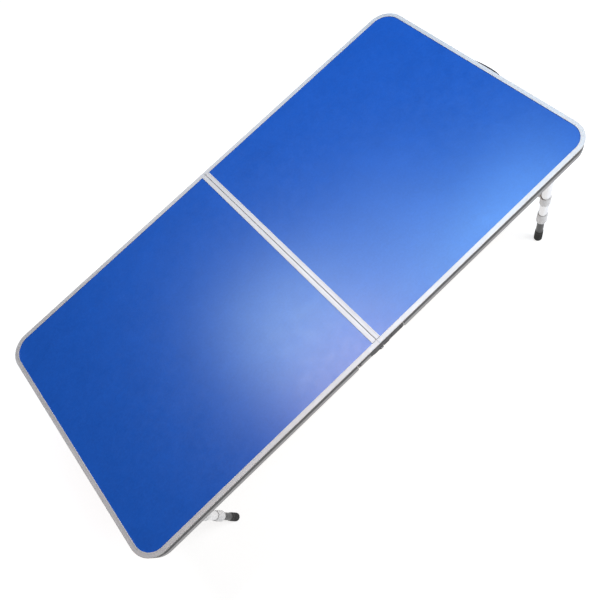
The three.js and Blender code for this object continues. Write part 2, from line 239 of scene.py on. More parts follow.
# ---------------------------------------------------------------- materials
class Look:
    """A procedural material on a Principled shader, drawn in the piece's own coordinates."""

    def __init__(self, name, metallic=0.0, specular=0.5, coat=0.0, coat_roughness=0.1):
        self.material = bpy.data.materials.new(name)
        self.material.use_nodes = True
        self.tree = self.material.node_tree
        self.shader = self.tree.nodes["Principled BSDF"]
        self.shader.inputs["Metallic"].default_value = metallic
        self.shader.inputs["Specular IOR Level"].default_value = specular
        self.shader.inputs["Coat Weight"].default_value = coat
        self.shader.inputs["Coat Roughness"].default_value = coat_roughness
        self.place = self.add("ShaderNodeTexCoord").outputs["Object"]

    def add(self, kind):
        return self.tree.nodes.new(kind)

    def link(self, a, b):
        self.tree.links.new(a, b)

    def noise(self, scale, detail=3.0, roughness=0.55, distortion=0.0):
        """Noise with a number of features per metre along each axis, from 0 to 1."""
        mapping, noise = self.add("ShaderNodeMapping"), self.add("ShaderNodeTexNoise")
        mapping.inputs["Scale"].default_value = scale if isinstance(scale, tuple) else (scale,) * 3
        noise.inputs["Scale"].default_value = 1.0
        noise.inputs["Detail"].default_value = detail
        noise.inputs["Roughness"].default_value = roughness
        noise.inputs["Distortion"].default_value = distortion
        self.link(self.place, mapping.inputs["Vector"])
        self.link(mapping.outputs["Vector"], noise.inputs["Vector"])
        return noise.outputs["Fac"]

    def spots(self, scale, randomness=1.0):
        """Distance to scattered cell centres, for grain and pitting."""
        mapping, cells = self.add("ShaderNodeMapping"), self.add("ShaderNodeTexVoronoi")
        mapping.inputs["Scale"].default_value = scale if isinstance(scale, tuple) else (scale,) * 3
        cells.inputs["Scale"].default_value = 1.0
        cells.inputs["Randomness"].default_value = randomness
        self.link(self.place, mapping.inputs["Vector"])
        self.link(mapping.outputs["Vector"], cells.inputs["Vector"])
        return cells.outputs["Distance"]

    def remap(self, value, low, high, start=0.3, stop=0.7):
        node = self.add("ShaderNodeMapRange")
        for name, number in (("From Min", start), ("From Max", stop), ("To Min", low), ("To Max", high)):
            node.inputs[name].default_value = number
        self.link(value, node.inputs["Value"])
        return node.outputs["Result"]

    def colours(self, value, first, second, start=0.3, stop=0.7):
        ramp = self.add("ShaderNodeValToRGB")
        for element, place, colour in zip(ramp.color_ramp.elements, (start, stop), (first, second)):
            element.position = place
            element.color = (*colour, 1)
        self.link(value, ramp.inputs["Fac"])
        return ramp.outputs["Color"]

    def mix(self, share, first, second):
        node = self.add("ShaderNodeMix")
        node.data_type = "RGBA"
        if isinstance(share, float):
            node.inputs["Factor"].default_value = share
        else:
            self.link(share, node.inputs["Factor"])
        for key, value in (("A", first), ("B", second)):
            socket = [s for s in node.inputs if s.name == key and s.type == "RGBA"][0]
            self.link(value, socket)
        return [s for s in node.outputs if s.type == "RGBA"][0]

    def finish(self, colour, roughness, bumps=()):
        """bumps are (height, strength, distance in metres), from coarse to fine."""
        self.link(colour, self.shader.inputs["Base Color"])
        self.link(roughness, self.shader.inputs["Roughness"])
        normal = None
        for height, strength, distance in bumps:
            bump = self.add("ShaderNodeBump")
            bump.inputs["Strength"].default_value = strength
            bump.inputs["Distance"].default_value = distance
            self.link(height, bump.inputs["Height"])
            if normal:
                self.link(normal, bump.inputs["Normal"])
            normal = bump.outputs["Normal"]
        if normal:
            self.link(normal, self.shader.inputs["Normal"])
        return self.material


def laminate():
    """Printed blue laminate with a satin face: fine mottle, faint clouds and an orange-peel skin."""
    look = Look("blue_laminate", specular=0.77)
    look.shader.inputs["Specular Tint"].default_value = (0.72, 0.88, 1.0, 1.0)
    mottle = look.colours(look.noise(230, 4, 0.7), (0.0016, 0.061, 0.340), (0.0058, 0.091, 0.460))
    clouds = look.colours(look.noise(16, 4, 0.6, 0.4), (0.0026, 0.068, 0.364), (0.0050, 0.084, 0.436))
    colour = look.mix(0.5, mottle, clouds)
    roughness = look.remap(look.noise(55, 5, 0.65), 0.28, 0.33)
    return look.finish(colour, roughness, (
        (look.noise(260, 2, 0.5), 0.12, 0.0002), (look.noise(1300, 2, 0.6), 0.18, 0.00006)))


def fibreboard():
    """Hardboard underside: brown pressed fibres with a faint sheen."""
    look = Look("fibreboard", specular=0.3)
    fibres = look.noise((260, 900, 500), 6, 0.7, 1.5)
    colour = look.mix(0.45, look.colours(fibres, (0.135, 0.078, 0.042), (0.26, 0.165, 0.092)),
                      look.colours(look.noise(40, 4), (0.16, 0.095, 0.052), (0.235, 0.15, 0.085)))
    return look.finish(colour, look.remap(fibres, 0.62, 0.85), ((fibres, 0.35, 0.00025),))


def metal(name, low, high, streak, roughness=(0.28, 0.42), wear=0.25):
    """Drawn or brushed metal: long fine streaks along one axis, with rubbed patches."""
    look = Look(name, metallic=1.0)
    lines = look.noise(streak, 3, 0.6)
    patches = look.noise(28, 5, 0.6, 0.6)
    colour = look.mix(wear, look.colours(lines, low, high), look.colours(patches, low, high))
    rough = look.add("ShaderNodeMath")
    rough.operation = "ADD"
    look.link(look.remap(lines, roughness[0], roughness[1]), rough.inputs[0])
    look.link(look.remap(patches, -0.04, 0.05), rough.inputs[1])
    return look.finish(colour, rough.outputs["Value"], ((lines, 0.10, 0.00008),))


def plastic(name, low, high, roughness=(0.42, 0.58), grain=900):
    """Moulded plastic with a fine spark-eroded grain and scuffs."""
    look = Look(name, specular=0.45)
    scuffs = look.noise(60, 5, 0.65, 0.8)
    pits = look.spots(grain)
    return look.finish(look.colours(scuffs, low, high), look.remap(scuffs, roughness[0], roughness[1]),
                       ((pits, 0.22, 0.00010), (look.noise(2600, 2), 0.10, 0.00004)))


def paint(name, low, high):
    """Powder coat on a tube: fine orange peel with a soft sheen."""
    look = Look(name, specular=0.5, coat=0.15, coat_roughness=0.3)
    peel = look.noise(700, 3, 0.5)
    return look.finish(look.colours(look.noise(45, 4), low, high), look.remap(peel, 0.34, 0.48),
                       ((peel, 0.25, 0.00012),))


ALU_LOW, ALU_HIGH = (0.63, 0.613, 0.597), (0.75, 0.732, 0.715)
# the rail's outer face: the same aluminium, painted darker as shade
SIDE_SHADE_LOW, SIDE_SHADE_HIGH = (0.25, 0.245, 0.245), (0.33, 0.325, 0.325)
looks = {
    "laminate": laminate(),
    "fibreboard": fibreboard(),
    "rail_x": metal("rail_drawn_along_x", ALU_LOW, ALU_HIGH, (6, 900, 900), (0.64, 0.74)),
    "rail_y": metal("rail_drawn_along_y", ALU_LOW, ALU_HIGH, (900, 6, 900), (0.64, 0.74)),
    "rail_side_shade": metal("rail_side_shade", SIDE_SHADE_LOW, SIDE_SHADE_HIGH, (8, 8, 900), (0.42, 0.54)),
    # near-black band painted on the rail's outer face as the shade under its lip
    "rail_shade_band": plastic("rail_shade_band", (0.019, 0.018, 0.020), (0.026, 0.025, 0.028), (0.46, 0.56)),
    "tube": metal("tube_drawn", (0.66, 0.66, 0.67), (0.82, 0.82, 0.83), (700, 700, 5), (0.24, 0.36)),
    "crossbar": metal("crossbar_drawn", (0.66, 0.66, 0.67), (0.82, 0.82, 0.83), (700, 5, 700), (0.24, 0.36)),
    "black_tube": paint("black_tube", (0.012, 0.012, 0.013), (0.020, 0.019, 0.021)),
    "black": plastic("black_plastic", (0.013, 0.012, 0.013), (0.026, 0.024, 0.026)),
    "rubber": plastic("black_rubber", (0.011, 0.011, 0.011), (0.022, 0.021, 0.021), (0.62, 0.80), 500),
    "grey": plastic("grey_plastic", (0.060, 0.058, 0.063), (0.095, 0.091, 0.098)),
    "pale": plastic("pale_plastic", (0.70, 0.70, 0.71), (0.80, 0.80, 0.81)),
    "zinc": metal("zinc_plated", (0.52, 0.52, 0.54), (0.74, 0.74, 0.76), (160, 160, 160), (0.22, 0.38), 0.5),
}


# ---------------------------------------------------------------- pieces
def piece(name, body, shape, look_names, nodes=(), crease=35):
    """One finished object: a clean mesh from a shape, riding on a body and standing for CAD nodes."""
    mesh = bpy.data.meshes.new(name)
    mesh.from_pydata([(v.x * MM + SEAM_X, v.y * MM, v.z * MM) for v in shape.verts], [], shape.faces)
    for look_name in look_names:
        mesh.materials.append(looks[look_name])
    mesh.polygons.foreach_set("material_index", shape.paints)
    tidy = bmesh.new()
    tidy.from_mesh(mesh)
    bmesh.ops.recalc_face_normals(tidy, faces=tidy.faces[:])
    tidy.to_mesh(mesh)
    tidy.free()
    mesh.shade_smooth()
    mesh.set_sharp_from_angle(angle=math.radians(crease))
    obj = bpy.data.objects.new(name, mesh)
    bpy.context.scene.collection.objects.link(obj)
    even = obj.modifiers.new("even_normals", "WEIGHTED_NORMAL")
    even.keep_sharp = True
    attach(obj, body)
    if nodes:
        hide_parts(*nodes)
    return obj


def solid_object(shape):
    """A bare object for a boolean step."""
    mesh = bpy.data.meshes.new("step")
    mesh.from_pydata(shape.verts, [], shape.faces)
    clean = bmesh.new()
    clean.from_mesh(mesh)
    bmesh.ops.recalc_face_normals(clean, faces=clean.faces[:])
    clean.to_mesh(mesh)
    clean.free()
    for number in range(max(shape.paints) + 1):
        mesh.materials.append(None)
    mesh.polygons.foreach_set("material_index", shape.paints)
    obj = bpy.data.objects.new("step", mesh)
    bpy.context.scene.collection.objects.link(obj)
    return obj


def combine(shape, tools, operation):
    """The shape with each tool joined to it (UNION) or cut from it (DIFFERENCE)."""
    base = solid_object(shape)
    helpers = [solid_object(tool) for tool in tools]
    for helper in helpers:
        modifier = base.modifiers.new("step", "BOOLEAN")
        modifier.operation, modifier.solver, modifier.object = operation, "EXACT", helper
    made = bpy.data.meshes.new_from_object(base.evaluated_get(bpy.context.evaluated_depsgraph_get()))
    result = Shape([v.co for v in made.vertices], [p.vertices[:] for p in made.polygons],
                   [p.material_index for p in made.polygons])
    for obj in [base, *helpers]:
        bpy.data.objects.remove(obj)
    return result


def cut(shape, *tools):
    return combine(shape, tools, "DIFFERENCE")


def join(shape, *tools):
    return combine(shape, tools, "UNION")


def screw(origin, axis, radius=3.0, proud=0.9):
    """A pan-head screw with a crossed recess, standing on a surface."""
    head = turned([(0, -0.6), (radius, -0.6), (radius, proud * 0.35), (radius * 0.86, proud * 0.8),
                   (radius * 0.5, proud), (0, proud)], origin, axis, 28)
    flat = axis.orthogonal().normalized()
    other = axis.cross(flat)
    arm, half = radius * 0.55, radius * 0.11
    bars = [prism([(-arm, -half), (arm, -half), (arm, half), (-arm, half)], origin, a, b,
                  proud * 0.35, proud + 1) for a, b in ((flat, other), (other, -flat))]
    return cut(head, *bars)


def rivet(origin, axis, radius=3.0, proud=0.9):
    """A domed rivet with the dimple its mandrel leaves."""
    return turned([(0, -0.6), (radius, -0.6), (radius, 0.1), (radius * 0.92, proud * 0.45),
                   (radius * 0.7, proud * 0.85), (radius * 0.42, proud), (radius * 0.34, proud * 0.62),
                   (0, proud * 0.55)], origin, axis, 32)


# ---------------------------------------------------------------- tops and rails
def outline(inset, seam):
    """(point, outward direction) along half the table's edge, from the near seam end to the far one."""
    r = CORNER_R - inset
    cx, cy = HALF_LENGTH - CORNER_R, HALF_WIDTH - CORNER_R
    places = [((seam, inset - HALF_WIDTH), (0, -1))]
    for centre, first in (((cx, -cy), -90), ((cx, cy), 0)):
        for k in range(CORNER_STEPS + 1):
            a = math.radians(first + 90 * k / CORNER_STEPS)
            direction = (math.cos(a), math.sin(a))
            places.append(((centre[0] + r * direction[0], centre[1] + r * direction[1]), direction))
    places.append(((seam, HALF_WIDTH - inset), (0, 1)))
    return places


# Each rail section: distance in from the outer edge, depth below the top, corner radius.
EDGE_SECTION = [
    (10.0, -1.2, 0.2), (10.0, 0.0, 0.45), (7.5, 0.0, 0.3), (7.0, -0.22, 0.3), (0.0, -0.22, 1.0),
    (0.0, -1.9, 0.3), (0.45, -2.3, 0.2), (0.45, -15.2, 0.2), (0.1, -15.6, 0.2), (0.1, -29.7, 0.9),
    (7.0, -29.7, 0.6), (7.0, -27.9, 0.5), (4.2, -27.5, 0.6), (4.2, -6.5, 0.6), (9.9, -6.5, 0.3),
    (9.9, -5.0, 0.2), (2.55, -5.0, 0.1), (2.55, -1.2, 0.1)]
SEAM_SECTION = [
    (10.3, -1.2, 0.2), (10.3, 0.0, 0.45), (7.9, 0.0, 0.3), (7.4, -0.22, 0.3), (0.45, -0.22, 0.5),
    (0.45, -3.4, 0.2), (SEAM_GAP, -3.9, 0.2),
    (SEAM_GAP, -29.7, 0.6), (8.0, -29.7, 0.5), (8.0, -28.2, 0.4), (2.1, -28.2, 0.5), (2.1, -6.5, 0.4),
    (10.0, -6.5, 0.3), (10.0, -5.0, 0.2), (2.3, -5.0, 0.1), (2.3, -1.2, 0.1)]
# heights of the shallow recess under the lip, where the near-black painted shade goes
SHADED_GROOVE = HEIGHT - 15.4, HEIGHT - 2.1


def edge_rail(hand):
    section = fillet([s[:2] for s in EDGE_SECTION], [s[2] for s in EDGE_SECTION])
    stations = [[(p[0] - n[0] * u, p[1] - n[1] * u, HEIGHT + v) for u, v in section]
                for p, n in outline(0, SEAM_GAP)]
    rail = swept(stations)

    def on_outer_face(c):
        past_x, past_y = abs(c.x) - (HALF_LENGTH - CORNER_R), abs(c.y) - (HALF_WIDTH - CORNER_R)
        return CORNER_R - 1.2 < math.hypot(max(past_x, 0), max(past_y, 0)) and c.z < SHADED_GROOVE[1]

    # the outer face below the lip takes the darker aluminium, painted as shade
    rail.paint(1, lambda c: c.x > HALF_LENGTH - CORNER_R).paint(2, on_outer_face)
    # the recess under the lip gets the near-black painted shade
    rail.paint(3, lambda c: on_outer_face(c) and c.z > SHADED_GROOVE[0])
    pockets = []
    for end in (-1, 1):
        pockets.append(block((-1, end * 297.9, HEIGHT - 31), (62, end * 301, HEIGHT - 6.2), 0.3))
        pockets.append(block((-1, end * 289.9, HEIGHT - 31), (21.6, end * 301, HEIGHT - 24.5), 0.3))
    if hand == "right":
        pockets.append(block((597.6, -65.3, HANDLE_Z - 6.3), (602, 65.3, HANDLE_Z + 6.3), 0.3))
    return cut(rail, *pockets)


def seam_rail():
    section = fillet([s[:2] for s in SEAM_SECTION], [s[2] for s in SEAM_SECTION])
    run = HALF_WIDTH - 10.7
    return swept([[(u, y, HEIGHT + v) for u, v in section] for y in (-run, run)])


def top_board():
    """The board: laminate above, fibreboard below, with its edges eased."""
    outer = [p for p, _ in outline(2.75, 2.5)]
    board = prism(outer, (0, 0, HEIGHT), X, Y, -4.8, -1.5, 0.25)
    return board.paint(1, lambda c: c.z < HEIGHT - 1.8)


# ---------------------------------------------------------------- seam hinges
def hinge_leaf(hand):
    """Half a hinge: a block over the end of the rail, and a knuckle on the pin."""
    near_y, far_y, first, last = (296.0, 299.6, 3.0, 27.0) if hand == "left" else (290.3, 295.7, 6.0, 21.0)
    leaf = block((0.4, 298.0, HEIGHT - 24.4), (last, 299.6, HEIGHT - 7.5), 0.4)
    leaf = leaf + block((first, 298.0, HEIGHT - 26.5), (last, 299.6, HEIGHT - 24.2), 0.3)
    leaf = leaf + block((first, near_y, FOLD_Z + 0.5), (21, 299.6, HEIGHT - 24.6), 0.8)
    leaf = leaf + block((2.8, near_y, FOLD_Z + 0.6), (first + 2, far_y, FOLD_Z + 4.8), 0.4)
    barrel = turned([(2.35, near_y + 0.3), (2.65, near_y), (4.6, near_y), (5.0, near_y + 0.4),
                     (5.0, far_y - 0.4), (4.6, far_y), (2.65, far_y), (2.35, far_y - 0.3)],
                    (0, 0, FOLD_Z), Y, 48)
    return leaf + barrel


def hinge_plate():
    """The riveted strap of a hinge, in two bands that follow the rail's recess and its lower face."""
    bands = []
    for low, high, radii in ((-26.5, -15.6, [0.1, 5, 0.1, 0.1]), (-15.4, -7.5, [0.1, 0.1, 5, 0.1])):
        corners = [(x, HEIGHT + z) for x, z in ((19, low), (60, low), (60, high), (19, high))]
        band = fillet(corners, radii, 6)
        bands.append(prism(band, (0, 0, 0), X, Z, -299.3, -298.0, 0.25))
    return bands[0].paint(0) + bands[1].paint(1)


def hinge_rivets(hand):
    places = [(55, 17)] if hand == "left" else [(28, 17), (53, 12), (53, 22)]
    shapes = [rivet((x, 299.2, HEIGHT - z), Y, 2.6, 0.7) for x, z in places]
    return functools.reduce(operator.add, shapes)


def hinge_pin():
    profile = [(0, 290.3), (1.7, 290.3), (2.0, 290.6), (2.0, 298.8), (1.8, 299.4), (1.0, 299.6), (0, 299.6)]
    return turned(profile, (0, 0, FOLD_Z), Y, 32)


# ---------------------------------------------------------------- legs
def leg_bracket(leg_y):
    """Moulded block behind the rail: ribbed pockets below, a boss for the bolt and a stop wall."""
    face = leg_y + HEAD_R + 0.4
    low, high = PIVOT_Z - 9.4, PIVOT_Z + 10.6
    body = join(block((LEG_X - 34, face, low), (LEG_X + 20, BRACKET_BACK, high), 1.4),
                block((LEG_X + HEAD_R + 0.4, leg_y - HEAD_R, low), (LEG_X + 20, BRACKET_BACK, high), 1.4))
    pockets = [block((x0, face + 2.5, low - 4), (x1, BRACKET_BACK - 2.5, low + 11), 0.8)
               for x0, x1 in ((LEG_X - 31, LEG_X - 22), (LEG_X - 19.5, LEG_X - 9))]
    bore = turned([(0, face - 3), (4.35, face - 3), (4.35, 301), (0, 301)], (LEG_X, 0, PIVOT_Z), Y, 40)
    return cut(body, *pockets, bore)


def pivot_bolt(leg_y):
    """Hexagon-headed bolt with its washer, through the head into the bracket."""
    hexagon = [(7 * math.cos(math.radians(60 * k)), 7 * math.sin(math.radians(60 * k))) for k in range(6)]
    head = prism(fillet(hexagon, 0.6, 2), (LEG_X, 0, PIVOT_Z), Z, X, leg_y - 15.3, leg_y - 12.9, 0.4)
    washer = turned([(4, leg_y - 12.9), (7.2, leg_y - 12.9), (7.4, leg_y - 12.7), (7.4, leg_y - 12.4),
                     (4, leg_y - 12.4)], (LEG_X, 0, PIVOT_Z), Y, 40)
    shank = turned([(0, leg_y - 13), (4, leg_y - 13), (4, BRACKET_BACK - 0.8), (3.6, BRACKET_BACK - 0.3),
                    (0, BRACKET_BACK - 0.3)], (LEG_X, 0, PIVOT_Z), Y, 32)
    return head + washer + shank


def leg_head(leg_y):
    """Moulded elbow: a barrel on the bolt and a socket on the tube."""
    barrel = turned([(4.35, -12), (11, -12), (12, -11), (12, 11), (11, 12), (4.35, 12)],
                    (LEG_X, leg_y, PIVOT_Z), Y, 56)
    socket = turned([(0, PIVOT_Z - 45), (11.4, PIVOT_Z - 45), (12, PIVOT_Z - 44.4), (12, PIVOT_Z - 39),
                     (11.5, PIVOT_Z - 38.2), (11.5, PIVOT_Z - 6), (0, PIVOT_Z - 6)], (LEG_X, leg_y, 0), Z, 56)
    bore = turned([(0, PIVOT_Z - 46), (10.35, PIVOT_Z - 46), (10.35, 328.6), (0, 328.6)],
                  (LEG_X, leg_y, 0), Z, 56)
    bolt_way = turned([(0, -13), (4.35, -13), (4.35, 13), (0, 13)], (LEG_X, leg_y, PIVOT_Z), Y, 40)
    return cut(join(barrel, socket), bore, bolt_way)


def ring_tube(x, y, low, high, outer, inner, grooves=()):
    """A drawn tube with eased rims and shallow rolled grooves at the given heights."""
    run = [(outer, low + 0.35)]
    for z in grooves:
        run += [(outer, z - 1.6), (outer - 0.28, z - 0.6), (outer - 0.28, z + 0.6), (outer, z + 1.6)]
    run += [(outer, high - 0.35), (outer - 0.25, high), (inner + 0.25, high), (inner, high - 0.3),
            (inner, low + 0.3), (inner + 0.25, low), (outer - 0.25, low)]
    return turned(run, (x, y, 0), Z, 56)


def twist_collar(x, y):
    """Twist-lock sleeve, in heights above its lower end: a fluted grip below a smooth taper."""
    def flutes(r, h, a):
        grip = max(0.0, min(1.0, (h - 3.5) / 2, (21.5 - h) / 2))
        return r if r < 11.2 else r - 0.75 * grip * (0.5 - 0.5 * math.cos(18 * a)) ** 0.7

    steps = [(12.0, 3 + 1.0 * k) for k in range(20)]
    profile = [(8.8, 0.4), (9.1, 0.0), (10.7, 0.0), (11.2, 0.4), (12.0, 2.6), *steps, (12.0, 22.6),
               (11.6, 24.0), (11.15, 36.5), (10.9, 37.0), (10.6, 37.0), (10.3, 36.6), (10.3, 6.7), (8.8, 6.7)]
    return turned(profile, (x, y, COLLAR_LOW), Z, 108, flutes)


def foot(x, y):
    """Rubber foot with grip rings above a rounded tread."""
    rings = []
    for z in (7.5, 12.5, 17.5, 22.5, 27.5):
        rings += [(10.0, z), (10.0, z + 2.4), (9.5, z + 2.9), (9.5, z + 4.4)]
    profile = [(0, 0), (8.0, 0), (9.4, 0.9), (10.0, 2.5), (10.0, 5.4), (9.5, 6.0), (9.5, 7.0), *rings,
               (9.6, 33.5), (9.5, 41.3), (9.2, 42.0), (9.0, 42.0), (8.8, 41.7), (8.8, 10.1), (0, 10.1)]
    return turned(profile, (x, y, 0), Z, 64)


def crossbar_tube(x, z, leg_y):
    end = leg_y - 14
    run = [(0, -end), (5.7, -end), (6.0, 0.3 - end), (6.0, end - 0.3), (5.7, end), (0, end)]
    return turned(run, (x, 0, z), Y, 40)


def crossbar_sleeve(x, z, leg_y):
    """A moulded tee that clamps the crossbar to one upper tube, with a screw boss."""
    profile = [(0, -14), (11.2, -14), (12, -13.2), (12, 13.2), (11.2, 14), (0, 14)]
    sleeve = turned(profile, (LEG_X, leg_y, z), Z, 56)
    boss = turned([(0, -34), (7.2, -34), (8.0, -33.2), (8.0, -4), (0, -4)], (x, leg_y, z), Y, 48)
    bore = turned([(0, -15), (10.3, -15), (10.3, 15), (0, 15)], (LEG_X, leg_y, z), Z, 56)
    way = turned([(0, -36), (6.05, -36), (6.05, -13.9), (0, -13.9)], (x, leg_y, z), Y, 48)
    return cut(join(sleeve, boss), bore, way)


# ---------------------------------------------------------------- brace
def brace_wire(wire_x, wire_z):
    corners = [(BRACE_X, -BRACE_Y - 18, BRACE_Z), (BRACE_X, -BRACE_Y, BRACE_Z), (wire_x, -BRACE_Y, wire_z),
               (wire_x, BRACE_Y, wire_z), (BRACE_X, BRACE_Y, BRACE_Z), (BRACE_X, BRACE_Y + 18, BRACE_Z)]
    return tube_along(rounded_route(corners, 7.0), circle(WIRE_R, 24))


def brace_saddle():
    """Moulded saddle with two flanks and a round eye for the wire."""
    body = block((BRACE_X - 9, BRACE_Y + 8, BRACE_Z - 5.6), (BRACE_X + 9, BRACE_Y + 16, HEIGHT - 5), 1.0)
    eye = turned([(0, BRACE_Y), (WIRE_R + 0.3, BRACE_Y), (WIRE_R + 0.3, BRACE_Y + 20), (0, BRACE_Y + 20)],
                 (BRACE_X, 0, BRACE_Z), Y, 32)
    return cut(body, eye)


def brace_clip(bar_x, bar_z, wire_x, wire_z):
    """Snap clip round the crossbar, with an open mouth for the brace's cross wire."""
    def disc(x, z, r, half, rim=0.0):
        edge = half - rim
        profile = [(0, -half), (r - rim, -half), (r, -edge), (r, edge), (r - rim, half), (0, half)]
        return turned(profile, (x, 0, z), Y, 48)

    body = join(disc(bar_x, bar_z, 8.2, 9, 0.4), disc(wire_x, wire_z, 5.2, 9, 0.4))
    lean = math.radians(20)
    out, up = Vector((math.cos(lean), 0, math.sin(lean))), Vector((-math.sin(lean), 0, math.cos(lean)))
    mouth = prism([(0, -3.4), (14, -4.4), (14, 4.4), (0, 3.4)], (wire_x, 0, wire_z), out, up, -10, 10)
    clear = block((LEG_X + 12.2, -12, bar_z - 20), (LEG_X + 30, 12, bar_z + 30), 0.1, 1)
    return cut(body, disc(bar_x, bar_z, 6.3, 12), disc(wire_x, wire_z, 3.4, 12), mouth, clear)


# ---------------------------------------------------------------- handle and clasps
def handle_bail():
    """Arched grip with finger ribs along its middle and a pin at each end."""
    out = Vector((math.cos(HANDLE_DROOP), 0, -math.sin(HANDLE_DROOP)))
    up = Vector((math.sin(HANDLE_DROOP), 0, math.cos(HANDLE_DROOP)))
    origin = Vector((HANDLE_X, 0, HANDLE_Z))
    stations = []
    steps = 96
    for i in range(steps + 1):
        t = math.pi * (i / steps - 0.5)
        rings = []
        outer = Vector((HANDLE_REACH * math.cos(t), HANDLE_HALF * math.sin(t)))
        inner = Vector(((HANDLE_REACH - HANDLE_STRAP) * math.cos(t),
                        (HANDLE_HALF - HANDLE_STRAP) * math.sin(t)))
        centre, reach = (outer + inner) / 2, (outer - inner) / 2
        rib = 1.0 - 0.07 * (abs(t) < 1.0) * (0.5 + 0.5 * math.cos(i * math.pi / 3)) * math.cos(t) ** 2
        for k in range(28):
            a = 2 * math.pi * k / 28
            c, s = math.cos(a), math.sin(a)
            shape = (abs(c) ** 2.8 + abs(s) ** 2.8) ** (-1 / 2.8)
            p = centre + reach * c * shape * rib
            rings.append(origin + out * max(p.x, 0.0) + Y * p.y + up * (HANDLE_DEPTH / 2 * s * shape * rib))
        stations.append(rings)
    bail = swept(stations)
    for end in (-1, 1):
        bail = bail + turned([(0, 38), (4.0, 38), (4.5, 38.5), (4.5, 44.5), (4.0, 45), (2.2, 45), (2.2, 50.6),
                              (1.8, 51), (0, 51)], (HANDLE_X, 0, HANDLE_Z), end * Y, 40)
    return bail


def handle_base():
    """Back plate with rounded ends and a lug for each pin."""
    face = fillet([(-65, -6), (65, -6), (65, 6), (-65, 6)], 5.5, 8)
    plate = prism(face, (0, 0, HANDLE_Z), Y, Z, 597.9, 599.5, 0.4)
    for end in (-1, 1):
        lug = fillet([(597.9, -6), (609.2, -6), (609.2, 6), (597.9, 6)], [0.2, 5.0, 5.0, 0.2], 8)
        lug = prism(lug, (0, end * 48.75, HANDLE_Z), X, Z, -3.25, 3.25, 0.5)
        bore = turned([(0, 44), (2.5, 44), (2.5, 54), (0, 54)], (HANDLE_X, 0, HANDLE_Z), end * Y, 32)
        plate = join(plate, cut(lug, bore))
    return plate


def clasp():
    """Swinging hook plate with a rounded slot, stowed level."""
    y, z, tip = 170.0, HEIGHT - 14, 142.0
    half = 5.5
    body = fillet([(tip - half, z - half), (y + half, z - half), (y + half, z + half), (tip - half, z + half)],
                  half - 0.1, 10)
    plate = prism(body, (0, 0, 0), Y, Z, 600.4, 602.0, 0.35)
    holes = [turned([(0, 598), (r, 598), (r, 604), (0, 604)], (0, centre, z), X, 32)
             for centre, r in ((y, 2.3), (tip, 2.4))]
    slot = block((598, tip - 2.4, z - 8), (604, tip + 2.4, z), 0.1, 1)
    return cut(plate, *holes, slot)


def stud(z):
    shank = [(0, 597.8), (1.8, 597.8), (1.8, 602.3)]
    head = [(3.3, 602.3), (3.6, 602.5), (3.4, 602.9), (2.2, 603.1), (1.0, 603.05), (0, 602.8)]
    return turned(shank + head, (0, 170, z), X, 36)


# ---------------------------------------------------------------- trim inside the corners
def corner_insert():
    """Plastic angle that ties the rail's corner to the board."""
    cx, cy, r = HALF_LENGTH - CORNER_R, HALF_WIDTH - CORNER_R, CORNER_R - 4.6
    first_x, first_y, wide, wall = cx - 16, cy - 24, 10.0, 2.4

    def arc(radius, angles):
        turns = [math.radians(a) for a in angles]
        return [(cx + radius * math.cos(a), cy + radius * math.sin(a)) for a in turns]

    outer = [(cx + r, first_y), *arc(r, range(0, 91, 6)), (first_x, cy + r)]
    plate = prism([*outer, (first_x, cy + r - wide), (cx + r - wide, first_y)], (0, 0, HEIGHT), X, Y,
                  -10.2, -6.9, 0.6)
    skirt = [*outer, (first_x, cy + r - wall), *arc(r - wall, range(90, -1, -6)), (cx + r - wall, first_y)]
    return plate + prism(skirt, (0, 0, HEIGHT), X, Y, -26.8, -10.0, 0.5)


def corner_screws():
    places = [(566.0, 271.0), (582.0, 240.0), (546.0, 280.0)]
    return functools.reduce(operator.add, [screw((x, y, HEIGHT - 10.2), -Z, 2.8) for x, y in places])


